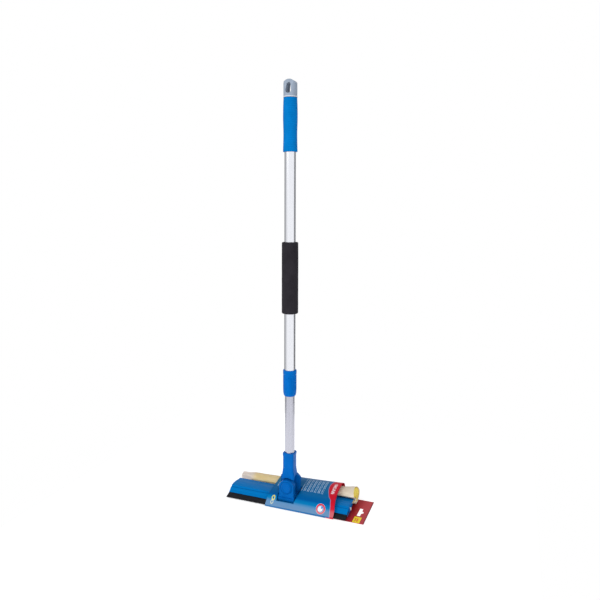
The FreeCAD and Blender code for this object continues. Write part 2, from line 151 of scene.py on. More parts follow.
def lay_floor():
    """Plain pale floor, lit a little from within so that it doesn't look grey."""
    bpy.ops.mesh.primitive_plane_add(size=FLOOR_SIDE, location=(0, 0, FLOOR_TOP))
    floor = bpy.context.object
    floor.name = "floor"
    material = bpy.data.materials.new("floor_paint")
    material.use_nodes = True
    shader = material.node_tree.nodes["Principled BSDF"]
    shader.inputs["Base Color"].default_value = (0.85, 0.85, 0.86, 1)
    shader.inputs["Roughness"].default_value = 0.95
    shader.inputs["Specular IOR Level"].default_value = 0.0
    shader.inputs["Emission Color"].default_value = (1, 1, 1, 1)
    shader.inputs["Emission Strength"].default_value = 0.45
    floor.data.materials.append(material)


aim_camera()
light_studio()
lay_floor()


# ---- materials -----------------------------------------------------------------------------
class Paint:
    """A principled material, and short ways to add detail to it."""

    def __init__(self, name, base, roughness, metallic=0.0, specular=0.3, **more):
        self.material = bpy.data.materials.new(name)
        self.material.use_nodes = True
        self.tree = self.material.node_tree
        self.shader = self.tree.nodes["Principled BSDF"]
        self.normal = None
        self.base = base
        values = {"Base Color": (*base, 1.0), "Roughness": roughness, "Metallic": metallic,
                  "Specular IOR Level": specular}
        values.update({key.replace("_", " "): value for key, value in more.items()})
        for socket, value in values.items():
            self.shader.inputs[socket].default_value = value
        self.place = self.node("TexCoord").outputs

    def node(self, kind, inputs=None, **settings):
        made = self.tree.nodes.new("ShaderNode" + kind)
        for key, value in settings.items():
            setattr(made, key, value)
        for socket, value in (inputs or {}).items():
            self.put(made.inputs[socket], value)
        return made

    def put(self, socket, value):
        if isinstance(value, bpy.types.NodeSocket):
            self.tree.links.new(value, socket)
        else:
            socket.default_value = value

    def math(self, operation, *values):
        return self.node("Math", dict(enumerate(values)), operation=operation).outputs[0]

    def inside(self, value, low, high):
        """1 where value is between low and high, else 0."""
        return self.math("MULTIPLY", self.math("GREATER_THAN", value, low),
                         self.math("LESS_THAN", value, high))

    def spot(self, scale):
        """Place on the object, each axis times its own scale (per metre)."""
        inputs = {0: self.place["Object"], 1: scale}
        return self.node("VectorMath", inputs, operation="MULTIPLY").outputs[0]

    def noise(self, scale, detail=2.0, roughness=0.5, distortion=0.0):
        inputs = {"Vector": self.spot(scale), "Scale": 1.0, "Detail": detail,
                  "Roughness": roughness, "Distortion": distortion}
        return self.node("TexNoise", inputs).outputs[0]

    def cells(self, scale):
        inputs = {"Vector": self.spot(scale), "Scale": 1.0}
        return self.node("TexVoronoi", inputs).outputs[0]

    def ramp(self, value, stops):
        made = self.node("ValToRGB", {0: value})
        fill_ramp(made.color_ramp, stops)
        return made.outputs[0]

    def between(self, value, low, high):
        inputs = {"Value": value, "To Min": low, "To Max": high}
        return self.node("MapRange", inputs).outputs[0]

    def mix(self, factor, a, b):
        made = self.node("Mix", data_type="RGBA")
        for socket, value in ((0, factor), (6, a), (7, b)):
            if isinstance(value, tuple):
                value = (*value, 1.0)
            self.put(made.inputs[socket], value)
        return made.outputs[2]

    def colour(self, value):
        self.put(self.shader.inputs["Base Color"], value)

    def shades(self, value, spread, low=0.3, high=0.7):
        """The base colour, darker and lighter by spread along value."""
        dark = tuple(c * (1 - spread) for c in self.base)
        light = tuple(min(1.0, c * (1 + spread) + 0.01 * spread) for c in self.base)
        return self.ramp(value, ((low, dark), (high, light)))

    def rough(self, value, low, high):
        self.put(self.shader.inputs["Roughness"], self.between(value, low, high))

    def soften(self, radius):
        """Rounds the look of sharp edges by a radius in millimetres."""
        made = self.node("Bevel", {"Radius": radius * MM}, samples=6)
        self.normal = made.outputs[0]
        self.put(self.shader.inputs["Normal"], self.normal)

    def bump(self, height, depth):
        """Raises the surface by height times depth in millimetres."""
        made = self.node("Bump", {"Height": height, "Distance": depth * MM})
        if self.normal:
            self.put(made.inputs["Normal"], self.normal)
        self.normal = made.outputs[0]
        self.put(self.shader.inputs["Normal"], self.normal)


def moulded(name, base, roughness=0.42, edge=0.45, specular=0.16, tint=SKY):
    """Injection-moulded plastic: fine grain, faint clouds and softly rounded edges."""
    paint = Paint(name, base, roughness, specular=specular, Specular_Tint=tint)
    paint.soften(edge)
    paint.colour(paint.shades(paint.noise((70, 70, 45), 3.0), 0.09))
    grain = paint.noise((1600, 1600, 1600), 2.0)
    paint.rough(grain, roughness - 0.07, roughness + 0.09)
    paint.bump(grain, 0.03)
    paint.bump(paint.noise((130, 130, 130), 1.0), 0.05)
    return paint


def extruded(name, base):
    """Extruded plastic with faint die lines along the head and rubbed ridges."""
    paint = Paint(name, base, 0.45, specular=0.06, Specular_Tint=SKY)
    paint.soften(0.4)
    lines = paint.noise((3, 1400, 1400), 2.0)
    paint.colour(paint.mix(0.5, paint.shades(lines, 0.16),
                           paint.shades(paint.noise((25, 60, 60), 3.0), 0.1)))
    paint.rough(paint.noise((12, 700, 700), 2.0), 0.3, 0.5)
    paint.bump(lines, 0.06)
    return paint


def drawn_tube(name, base, roughness, streak, specular=0.5):
    """Drawn aluminium: long faint streaks up the tube and a few small scuffs."""
    paint = Paint(name, base, roughness, metallic=1.0, specular=specular)
    streaks = paint.noise((1500, 1500, 5), 2.0)
    scuffs = paint.noise((260, 260, 60), 4.0, 0.7)
    paint.colour(paint.shades(streaks, streak))
    paint.rough(paint.math("MULTIPLY", streaks, scuffs), roughness - 0.05, roughness + 0.16)
    paint.bump(streaks, 0.008)
    return paint


def turned_steel(name):
    """Turned steel with fine rings."""
    paint = Paint(name, (0.56, 0.56, 0.58), 0.3, metallic=1.0)
    paint.soften(0.2)
    fine = paint.noise((2400, 300, 2400), 3.0)
    paint.colour(paint.shades(fine, 0.12))
    paint.rough(fine, 0.2, 0.42)
    paint.bump(fine, 0.02)
    return paint


def rubber(name):
    """Black rubber, matt and a little dusty."""
    paint = Paint(name, (0.012, 0.012, 0.014), 0.55, specular=0.18)
    paint.soften(0.2)
    dust = paint.noise((90, 300, 300), 5.0, 0.65)
    paint.colour(paint.ramp(dust, ((0.35, (0.004, 0.004, 0.006)), (0.75, (0.02, 0.02, 0.025)))))
    fine = paint.noise((200, 2200, 2200), 2.0)
    paint.rough(fine, 0.42, 0.68)
    paint.bump(fine, 0.03)
    return paint


def open_foam(name, base, pore_shade, pores, depth, sheen=0.0):
    """Foam with round pores of two sizes, with painted shade inside them."""
    paint = Paint(name, base, 0.95, specular=0.1, Sheen_Weight=sheen)
    big = paint.cells((pores,) * 3)
    small = paint.cells((pores * 2.7,) * 3)
    pits = paint.math("MINIMUM", big, paint.math("ADD", small, 0.12))
    cloud = paint.noise((55, 55, 55), 3.0)
    # painted shade: the pores are darkened toward a shade colour
    pore_shade_mask = paint.ramp(pits, ((0.05, 1.0), (0.45, 0.0)))
    paint.colour(paint.mix(pore_shade_mask, paint.shades(cloud, 0.14), pore_shade))
    paint.bump(pits, depth)
    return paint


def knit():
    """Fine knitted sleeve: loops in columns along the roll, the sponge's yellow between them."""
    paint = Paint("knitted_net", (0.75, 0.63, 0.5), 0.85, specular=0.15, Sheen_Weight=0.25)
    uv = paint.node("SeparateXYZ", {0: paint.place["UV"]}).outputs
    rows = paint.math("SINE", paint.math("MULTIPLY", uv[0], 620.0))
    columns = paint.math("SINE", paint.math("MULTIPLY", uv[1], 560.0))
    loops = paint.math("MULTIPLY_ADD", paint.math("MULTIPLY", rows, columns), 0.5, 0.5)
    # u runs along the roll: stretched over the sponge on the left, looser on the right
    under = paint.ramp(uv[0], ((0.0, (0.92, 0.8, 0.72)), (0.09, (0.92, 0.78, 0.68)),
                               (0.13, (0.98, 0.74, 0.26)), (0.55, (0.98, 0.72, 0.26)),
                               (0.85, (0.95, 0.78, 0.52)), (1.0, (0.96, 0.82, 0.6))))
    over = paint.ramp(uv[0], ((0.0, (0.92, 0.82, 0.76)), (0.1, (0.9, 0.8, 0.7)),
                              (0.14, (0.95, 0.72, 0.36)), (0.55, (0.92, 0.7, 0.36)),
                              (0.85, (0.92, 0.8, 0.66)), (1.0, (0.93, 0.83, 0.7))))
    cloud = paint.noise((40, 120, 120), 3.0)
    thread = paint.mix(paint.ramp(loops, ((0.25, 0.0), (0.7, 1.0))), under, over)
    paint.colour(paint.mix(0.22, thread, paint.ramp(cloud, ((0.3, (0.5, 0.38, 0.2)),
                                                           (0.7, (0.95, 0.85, 0.7))))))
    paint.bump(loops, 0.35)
    paint.bump(cloud, 0.4)
    return paint


def hem_tape():
    """Woven yellow tape."""
    paint = Paint("hem_tape", (0.8, 0.6, 0.2), 0.85, specular=0.15, Sheen_Weight=0.2)
    weave = paint.math("MULTIPLY", paint.noise((2200, 120, 120)), paint.noise((120, 1600, 1600)))
    paint.colour(paint.shades(weave, 0.3, 0.12, 0.4))
    paint.bump(weave, 0.2)
    return paint


def printed_film():
    """Blue film with generic print and a painted reflection that makes the front pale: red end
    band, ring, bars and a small mark.
    """
    paint = Paint("printed_film", (0.0, 0.1, 0.36), 0.3, specular=0.14, Specular_Tint=SKY)
    uv = paint.node("SeparateXYZ", {0: paint.place["UV"]}).outputs
    along, around = uv[0], paint.math("MULTIPLY", uv[1], float(CORNERS))

    def blob(centre, radii):
        """0 at the centre of an ellipse, 1 on its edge."""
        dx = paint.math("DIVIDE", paint.math("SUBTRACT", along, centre[0]), radii[0])
        dy = paint.math("DIVIDE", paint.math("SUBTRACT", around, centre[1]), radii[1])
        return paint.math("SQRT", paint.math("ADD", paint.math("MULTIPLY", dx, dx),
                                             paint.math("MULTIPLY", dy, dy)))

    def all_of(*masks):
        whole = masks[0]
        for mask in masks[1:]:
            whole = paint.math("MULTIPLY", whole, mask)
        return whole

    def patchy(columns, rows):
        """Broken rows, each column of them broken at its own places."""
        cell = paint.math("FLOOR", paint.math("MULTIPLY", along, columns))
        spot = paint.node("CombineXYZ", {0: paint.math("MULTIPLY", cell, 3.7),
                                         1: paint.math("MULTIPLY", around, rows)}).outputs[0]
        return paint.node("TexNoise", {"Vector": spot, "Scale": 1.0, "Detail": 1.0}).outputs[0]

    def levels(*stops):
        """A value that changes round the outline, from stops given in corners."""
        return paint.ramp(uv[1], [(turn / CORNERS, value) for turn, value in stops])

    def stamp(mask, colour, share=1.0):
        """The field with a colour printed on it where mask is 1."""
        if share < 1.0:
            mask = paint.math("MULTIPLY", mask, share)
        return paint.mix(mask, field, colour)

    field = levels((0.0, (0.0, 0.15, 0.4)), (0.25, (0.01, 0.18, 0.42)), (1.4, (0.0, 0.19, 0.43)),
                   (1.9, (0.0, 0.16, 0.42)), (2.3, (0.0, 0.1, 0.34)), (3.2, (0.0, 0.125, 0.35)),
                   (4.2, (0.0, 0.125, 0.31)), (6.0, (0.01, 0.13, 0.31)), (12.0, (0.0, 0.1, 0.3)))
    # the film is thin, so the roll under its left end tints it
    tint = all_of(paint.ramp(along, ((0.0, 1.0), (0.16, 0.0))), levels((3.6, 0.0), (4.6, 1.0)))
    field = stamp(tint, (0.06, 0.22, 0.26), 0.55)
    # block of short pale strokes in pairs, like small print that can't be read
    stroke = paint.math("FRACT", paint.math("MULTIPLY", along, 19.0))
    second = paint.math("GREATER_THAN", patchy(19.0, 7.0), 0.42)
    pair = paint.math("ADD", paint.inside(stroke, 0.08, 0.27),
                      all_of(paint.inside(stroke, 0.45, 0.64), second))
    block = all_of(pair, paint.math("GREATER_THAN", patchy(38.0, 10.0), 0.4),
                   paint.inside(along, 0.44, 0.79), paint.inside(around, 3.75, 5.55))
    left_block = all_of(paint.inside(stroke, 0.1, 0.45),
                        paint.math("GREATER_THAN", patchy(38.0, 9.0), 0.45),
                        paint.inside(along, 0.03, 0.14), paint.inside(around, 3.7, 4.9))
    field = stamp(paint.math("MAXIMUM", block, left_block), (0.5, 0.66, 0.82), 0.7)
    # ring with a white drop in it
    ring = blob((0.805, 1.22), (0.067, 0.92))
    drop, dot = blob((0.799, 1.2), (0.034, 0.46)), blob((0.815, 1.42), (0.011, 0.16))
    field = stamp(paint.inside(ring, -1.0, 1.0), (0.78, 0.72, 0.78))
    field = stamp(paint.inside(ring, 0.66, 0.96), (0.72, 0.01, 0.03))
    field = stamp(paint.inside(ring, -1.0, 0.62), (0.04, 0.2, 0.5))
    field = stamp(paint.inside(drop, -1.0, 1.0), (0.9, 0.9, 0.92))
    field = stamp(paint.inside(dot, -1.0, 1.0), (0.1, 0.3, 0.65))
    # small round marks by the left end
    upper, lower = blob((0.098, 1.6), (0.026, 0.5)), blob((0.088, 0.85), (0.022, 0.4))
    field = stamp(paint.inside(upper, 0.5, 1.0), (0.75, 0.68, 0.12))
    field = stamp(paint.inside(lower, 0.55, 1.0), (0.55, 0.62, 0.45))
    # red band, narrow in front and wider over the top
    width = levels((0.0, 0.048), (1.0, 0.06), (2.0, 0.06), (3.0, 0.068), (3.5, 0.105), (4.0, 0.14),
                   (4.5, 0.17), (5.0, 0.175), (5.6, 0.15), (6.2, 0.11), (7.2, 0.1))
    edge = paint.math("SUBTRACT", 1.0, width)
    rim = paint.math("GREATER_THAN", along, paint.math("SUBTRACT", edge, 0.006))
    field = stamp(rim, (0.3, 0.3, 0.5))
    field = stamp(paint.math("GREATER_THAN", along, edge), (0.62, 0.006, 0.02))
    stripe = paint.math("ADD", paint.math("SUBTRACT", along, 1.0), 0.078)
    label = all_of(paint.inside(stripe, -0.026, 0.026), paint.inside(around, 3.95, 5.3),
                   paint.math("GREATER_THAN", patchy(60.0, 8.0), 0.44))
    field = stamp(label, (0.9, 0.75, 0.77), 0.8)
    # painted reflection: the front slope is washed pale with white, standing in for the glossy
    # film mirroring its bright surroundings
    painted_reflection = levels((0.05, 0.0), (0.25, 0.16), (0.9, 0.14), (1.5, 0.0))
    paint.colour(paint.mix(painted_reflection, field, (0.95, 0.95, 0.95)))
    wrinkle = paint.noise((28, 60, 60), 3.0, 0.55, 0.6)
    paint.rough(wrinkle, 0.24, 0.42)
    paint.bump(wrinkle, 0.4)
    return paint


def red_card():
    """Printed card, with a painted shadow of the head near it and a painted gloss reflection
    lighter further off, darker along its end.
    """
    paint = Paint("red_card", (0.42, 0.02, 0.03), 0.45, specular=0.12)
    along = paint.node("SeparateXYZ", {0: paint.place["Object"]}).outputs[0]
    scale = {"Value": along, "From Min": 0.118, "From Max": 0.15}
    share = paint.node("MapRange", scale).outputs[0]
    # painted light: the shadow of the head darkens the near part, a gloss reflection lightens the
    # far part
    body = paint.ramp(share, ((0.0, (0.24, 0.0, 0.003)), (0.45, (0.38, 0.0, 0.008)),
                              (0.75, (0.48, 0.035, 0.045)), (1.0, (0.5, 0.045, 0.055))))
    cloud = paint.noise((30, 30, 30), 3.0)
    body = paint.mix(paint.math("MULTIPLY", cloud, 0.16), body, (0.5, 0.08, 0.08))
    line = paint.math("GREATER_THAN", along, 0.1547)
    paint.colour(paint.mix(line, body, (0.2, 0.004, 0.01)))
    fibre = paint.noise((900, 500, 900), 3.0)
    paint.rough(fibre, 0.34, 0.5)
    paint.bump(fibre, 0.02)
    return paint


def price_label():
    """Yellow label with two generic red blocks."""
    paint = Paint("price_label", (0.92, 0.72, 0.0), 0.4, specular=0.35)
    axes = paint.node("SeparateXYZ", {0: paint.place["Object"]}).outputs
    bars = paint.math("FRACT", paint.math("MULTIPLY", axes[0], 250.0))
    marks = paint.math("MULTIPLY", paint.inside(bars, 0.2, 0.85),
                       paint.inside(axes[0], 0.137, 0.1452))
    marks = paint.math("MULTIPLY", marks, paint.inside(axes[1], -0.0275, -0.0155))
    body = paint.shades(paint.noise((60, 60, 60), 2.0), 0.06)
    paint.colour(paint.mix(paint.math("MULTIPLY", marks, 0.85), body, (0.75, 0.1, 0.01)))
    fibre = paint.noise((1500, 1500, 1500), 2.0)
    paint.rough(fibre, 0.35, 0.5)
    paint.bump(fibre, 0.01)
    return paint


FINISH = {
    "housing": extruded("extruded_blue", (0.0, 0.175, 0.5)),
    "blue": moulded("moulded_blue", (0.0, 0.125, 0.48)),
    "bracket": moulded("bracket_blue", (0.0, 0.115, 0.42)),
    "collar": moulded("collar_blue", (0.0, 0.14, 0.52)),
    "dial": moulded("dial_blue", (0.0, 0.115, 0.43), 0.36),
    "grip": moulded("grip_blue", (0.0, 0.185, 0.54), 0.55, 0.2, 0.12),
    "grey": moulded("cap_grey", (0.31, 0.37, 0.45), 0.5, tint=WHITE),
    "ring": moulded("ring_grey", (0.6, 0.62, 0.66), 0.5, 0.1, tint=WHITE),
    "white": moulded("white_plastic", (0.78, 0.78, 0.75), 0.4, tint=WHITE),
    "outer": drawn_tube("outer_aluminium", (0.88, 0.885, 0.91), 0.2, 0.05),
    "inner": drawn_tube("inner_aluminium", (0.55, 0.55, 0.61), 0.26, 0.05),
    "steel": turned_steel("steel"),
    "rubber": rubber("blade_rubber"),
    "foam": open_foam("black_foam", (0.026, 0.023, 0.028), (0.008, 0.007, 0.009), 900.0, 0.12,
                      0.04),
    "sponge": open_foam("sponge_foam", (1.0, 0.76, 0.15), (0.68, 0.4, 0.05), 420.0, 0.5),
    "knit": knit(),
    "tape": hem_tape(),
    "film": printed_film(),
    "card": red_card(),
    "label": price_label(),
}
FINISH_OF_NODE = {"head_housing": "housing", "pivot_bracket": "bracket",
                  "lock_collar": "collar"}
FINISH_OF_SLOT = {
    "blue_plastic": "blue", "button_blue": "dial", "grip_blue": "grip", "cap_grey": "grey",
    "blade_rubber": "rubber", "outer_aluminium": "outer", "inner_aluminium": "inner",
    "steel": "steel", "white_plastic": "white", "black_foam": "foam", "sponge_foam": "sponge",
    "net": "knit", "printed_film": "film", "red_card": "card", "yellow_label": "label"}


def dress(obj, finish):
    """Gives an object one material, by its name in FINISH."""
    obj.data.materials.clear()
    obj.data.materials.append(FINISH[finish].material)


for row in frame["record"]["subparts"]:
    node = row["node"]
    finish = FINISH_OF_NODE.get(node) or FINISH_OF_SLOT[row["material_slot"]]
    dress(frame["nodes"][node], finish)


# ---- mesh helpers --------------------------------------------------------------------------
def piece(name, points, faces, body, finish, replaces=(), uvs=None):
    """A smooth mesh from points in millimetres, which rides on a body."""
    mesh = bpy.data.meshes.new(name)
    mesh.from_pydata([Vector(p) * MM for p in points], [], faces)
    mesh.polygons.foreach_set("use_smooth", [True] * len(mesh.polygons))
    if uvs:
        layer = mesh.uv_layers.new(name="UVMap")
        for loop in mesh.loops:
            layer.data[loop.index].uv = uvs[loop.vertex_index]
    obj = bpy.data.objects.new(name, mesh)
    bpy.context.scene.collection.objects.link(obj)
    dress(obj, finish)
    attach(obj, body)
    if replaces:
        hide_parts(*replaces)
    return obj


def apply_modifier(obj, kind, **settings):
    """Adds a modifier and makes it part of the mesh."""
    modifier = obj.modifiers.new(kind.lower(), kind)
    for key, value in settings.items():
        setattr(modifier, key, value)
    with bpy.context.temp_override(object=obj, active_object=obj, selected_objects=[obj]):
        bpy.ops.object.modifier_apply(modifier=modifier.name)


def face_outward(mesh):
    """Turns every face of a closed mesh outward."""
    bm = bmesh.new()
    bm.from_mesh(mesh)
    bmesh.ops.recalc_face_normals(bm, faces=bm.faces)
    bm.to_mesh(mesh)
    bm.free()


def grid(rows, columns, closed=False, ringed=False):
    """Faces between rows of points, the rows joined last to first if ringed."""
    faces = []
    for r in range(rows if ringed else rows - 1):
        for c in range(columns if closed else columns - 1):
            a, b = r * columns, (r + 1) % rows * columns
            d = (c + 1) % columns
            faces.append((a + c, b + c, b + d, a + d))
    return faces


def lathe(profile, segments, shift=None):
    """Points and faces of a closed r, z outline, up outside and down inside, turned about Z."""
    points = []
    for k in range(segments):
        angle = 2 * math.pi * k / segments
        for number, (r, z) in enumerate(profile):
            r += shift(angle, number, z) if shift else 0.0
            points.append((r * math.cos(angle), r * math.sin(angle), z))
    return points, grid(segments, len(profile), closed=True, ringed=True)


def through(knots, x):
    """Smooth curve through x, y knots."""
    for k in range(len(knots) - 1):
        if x <= knots[k + 1][0] or k == len(knots) - 2:
            break
    (x1, y1), (x2, y2) = knots[k], knots[k + 1]
    x0, y0 = knots[max(k - 1, 0)]
    x3, y3 = knots[min(k + 2, len(knots) - 1)]
    t = (x - x1) / (x2 - x1)
    m1 = (y2 - y0) / (x2 - x0) * (x2 - x1)
    m2 = (y3 - y1) / (x3 - x1) * (x2 - x1)
    return ((2 * t ** 3 - 3 * t ** 2 + 1) * y1 + (t ** 3 - 2 * t ** 2 + t) * m1
            + (3 * t ** 2 - 2 * t ** 3) * y2 + (t ** 3 - t ** 2) * m2)


def step(x, low, high):
    """0 below low, 1 above high, smooth between."""
    t = min(1.0, max(0.0, (x - low) / (high - low)))
    return t * t * (3 - 2 * t)


def box_of(node):
    """A CAD node's lowest and highest corners in millimetres."""
    low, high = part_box(node)
    return [v / MM for v in low], [v / MM for v in high]


# ---- grips and cap -------------------------------------------------------------------------
def hand_grip():
    """Waisted grip: two ribbed panels, two smooth ones with small pads, seams between them."""
    low, high = (corner[2] for corner in box_of("hand_grip"))
    knots = [(low, 13.85), (690.0, 13.5), (713.0, 13.05), (729.0, 13.45), (743.0, 13.8),
             (762.0, 13.6), (high, 13.0)]
    pitch, rows, inner = 4.2, 230, 11.1
    heights = [low + (high - low) * k / rows for k in range(rows + 1)]
    outside = []
    for z in heights:
        end = min(z - low, high - z)
        outside.append((through(knots, z) - 0.8 * (1 - step(end, 0.0, 0.9)), z))
    profile = outside + [(inner, high), (inner, low)]

    def shift(angle, number, z):
        if number > rows:
            return 0.0
        # the panels repeat every half turn
        degrees = (math.degrees(angle) + 87) % 180
        ribbed = step(degrees, 1.5, 4.0) * (1 - step(degrees, 98.0, 100.5))
        inset = step(min(z - low, high - z), 4.0, 5.5)
        wave = (0.5 + 0.5 * math.cos(2 * math.pi * (z - low) / pitch)) ** 3
        seam = math.exp(-((degrees - 1.0) / 0.9) ** 2) + math.exp(-((degrees - 101.0) / 0.9) ** 2)
        depth = -0.55 * wave * ribbed * inset - 0.3 * seam
        for pad_z in (691.5, 730.0, 769.0):
            across = (degrees - 160) / 8.0
            along = (z - pad_z) / 2.6
            depth += 0.5 * (1 - step(math.hypot(across, along), 0.7, 1.0))
        return depth

    points, faces = lathe(profile, 180, shift)
    piece("hand_grip_ribbed", points, faces, "pole", "grip", ["hand_grip"])


def foam_grip():
    """Foam sleeve with rounded ends and a slightly uneven skin."""
    (_, _, low), (radius, _, high) = box_of("foam_grip")
    inner, edge = 11.35, 2.6
    profile = [(inner + 0.6, low), (radius - edge, low)]
    for k in range(1, 7):
        a = math.pi / 2 * k / 6
        profile.append((radius - edge + edge * math.sin(a), low + edge - edge * math.cos(a)))
    body = 64
    for k in range(1, body):
        profile.append((radius, low + edge + (high - low - 2 * edge) * k / body))
    for k in range(7):
        a = math.pi / 2 * k / 6
        profile.append((radius - edge + edge * math.cos(a), high - edge + edge * math.sin(a)))
    profile += [(inner + 0.6, high), (inner, high - 0.6), (inner, low + 0.6)]

    def shift(angle, number, z):
        if number < 1 or number > len(profile) - 4:
            return 0.0
        spot = Vector((math.cos(angle) * 1.4, math.sin(angle) * 1.4, z * 0.09))
        ring = -0.25 * math.exp(-((high - z - 5.2) / 0.8) ** 2)
        return 0.16 * noise.noise(spot) + 0.07 * noise.noise(spot * 4) + ring

    points, faces = lathe(profile, 96, shift)
    sleeve = piece("foam_sleeve", points, faces, "pole", "foam", ["foam_grip"])


def cap_ring():
    """Knurled ring round the foot of the cap."""
    low = box_of("hand_grip")[1][2]
    profile = [(12.9, low + 0.15), (13.25, low + 0.15), (13.42, low + 0.5), (13.42, low + 2.0),
               (13.25, low + 2.35), (12.9, low + 2.35)]

    def shift(angle, number, z):
        return 0.16 * math.cos(angle * 46) if 1 <= number <= 4 else 0.0

    points, faces = lathe(profile, 368, shift)
    piece("cap_knurl", points, faces, "pole", "ring")


def dial_spring():
    """Coil spring behind the dial."""
    low, high = box_of("button_spring")
    radius, wire, turns, rows, sides = 5.6, 0.4, 2.5, 90, 10
    middle = Vector((0, 0, (low[2] + high[2]) / 2))
    rise = high[1] - low[1] - 2 * wire
    points = []
    for k in range(rows + 1):
        angle = 2 * math.pi * turns * k / rows
        out = Vector((math.cos(angle), 0, -math.sin(angle)))
        centre = middle + out * radius + TO_BACK * (low[1] + wire + rise * k / rows)
        for j in range(sides):
            round_wire = 2 * math.pi * j / sides
            side = out * math.cos(round_wire) + TO_BACK * math.sin(round_wire)
            points.append(centre + wire * side)
    faces = grid(rows + 1, sides, closed=True)
    faces += [tuple(range(sides)), tuple(reversed(range(rows * sides, (rows + 1) * sides)))]
    coil = piece("dial_coil", points, faces, "head", "steel", ["button_spring"])
    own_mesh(coil)


hand_grip()
foam_grip()
cap_ring()
dial_spring()

# ---- sponge roll ---------------------------------------------------------------------------
# x, centre y, centre z, half width and half height of the roll, in millimetres
ROLL = ((-122.0, 46.5, 12.0, 11.0, 7.8), (-97.0, 44.0, 12.3, 12.6, 9.3),
        (-38.0, 44.0, 12.4, 14.0, 10.2), (99.0, 40.0, 14.2, 20.0, 11.6),
        (126.0, 39.5, 16.2, 21.5, 14.6))
# the head's back, which the roll is pressed against
HEAD_BACK = ((4.0, 20.2), (18.0, 20.2), (31.9, 13.5), (32.8, 10.2), (22.3, 7.7), (15.3, 4.3),
             (8.1, 1.7), (-2.0, 0.6))


def roll_at(x):
    """The roll's centre y and z, half width and half height at x."""
    for left, right in zip(ROLL, ROLL[1:]):
        if x <= right[0]:
            break
    t = (x - left[0]) / (right[0] - left[0])
    return [a + (b - a) * t for a, b in zip(left[1:], right[1:])]


def reach(centre, angle):
    """Distance from centre to the head's back in a direction, or a lot."""
    y0, z0 = centre
    dy, dz = math.cos(angle), math.sin(angle)
    best = 99.0
    for (y1, z1), (y2, z2) in zip(HEAD_BACK, HEAD_BACK[1:]):
        ey, ez = y2 - y1, z2 - z1
        cross = dy * ez - dz * ey
        if abs(cross) < 1e-9:
            continue
        t = ((y1 - y0) * ez - (z1 - z0) * ey) / cross
        s = ((y1 - y0) * dz - (z1 - z0) * dy) / cross
        if t > 0 and -1e-6 <= s <= 1.000001:
            best = min(best, t)
    return best


def roll_ring(x, shrink, count, ripple=None):
    """Closed outline of the roll at x, pressed in where the head is."""
    y, z, a, b = roll_at(x)
    a, b = a - shrink, b - shrink
    radii = []
    for k in range(count):
        angle = 2 * math.pi * k / count
        free = a * b / math.hypot(b * math.cos(angle), a * math.sin(angle))
        if ripple:
            free += ripple(x, angle)
        radii.append(min(free, reach((y, z), angle) - 0.45 - shrink))
    radii = [(radii[k - 1] + 2 * radii[k] + radii[(k + 1) % count]) / 4 for k in range(count)]
    ring = []
    for k, radius in enumerate(radii):
        angle = 2 * math.pi * k / count
        ring.append((x, y + radius * math.cos(angle), z + radius * math.sin(angle)))
    return ring


def lean(point):
    """The roll's right end slopes back towards its top."""
    x, y, z = point
    high = max(0.0, z - 13.0) / 17.0
    return (x - 5.0 * high ** 1.5 * step(x, 100.0, 126.0), y, z)


def sponge_core():
    """Rolled sheet of sponge: soft side, domed ends with the sheet's spiral."""
    low, high, count, inset = -96.5, 125.2, 120, 1.5

    def uneven(x, angle):
        spot = Vector((x * 0.05, math.cos(angle) * 1.5, math.sin(angle) * 1.5))
        return 0.35 * noise.noise(spot) - 0.15

    def end_face(side):
        """Rings from the middle of an end out to its edge."""
        x = high if side > 0 else low
        edge, (y0, z0) = roll_ring(x, inset + 1.4, count, uneven), roll_at(x)[:2]
        face = []
        for k in range(1, steps + 1):
            share = k / steps
            ring = []
            for number, (_, y, z) in enumerate(edge):
                phase = (share * turns + number / count) % 1.0
                groove = math.exp(-((phase - 0.5) / 0.13) ** 2)
                fade = step(share, 0.06, 0.2) * (1 - step(share, 0.86, 0.98))
                bulge = 1.0 * (1 - share ** 3)
                ring.append((x + side * (bulge - 1.1 - 1.3 * groove * fade),
                             y0 + (y - y0) * share, z0 + (z - z0) * share))
            face.append(ring)
        return face

    turns, steps = 3.2, 26
    rings = end_face(-1)
    for depth, cut in ((0.4, 0.75), (1.2, 0.25)):
        rings.append(roll_ring(low + depth, inset + cut, count, uneven))
    x = low + 2.4
    while x < high - 2.4:
        rings.append(roll_ring(x, inset, count, uneven))
        x += 4.0
    for depth, cut in ((2.0, 0.1), (1.2, 0.3), (0.4, 0.75)):
        rings.append(roll_ring(high - depth, inset + cut, count, uneven))
    rings += end_face(1)[::-1]
    points = [lean(p) for ring in rings for p in ring]
    faces = [tuple(reversed(f)) for f in grid(len(rings), count, closed=True)]
    faces.append(tuple(range(count)))
    faces.append(tuple(reversed(range(len(points) - count, len(points)))))
    core = piece("sponge_roll", points, faces, "head", "sponge", ["sponge_core"])
    face_outward(core.data)


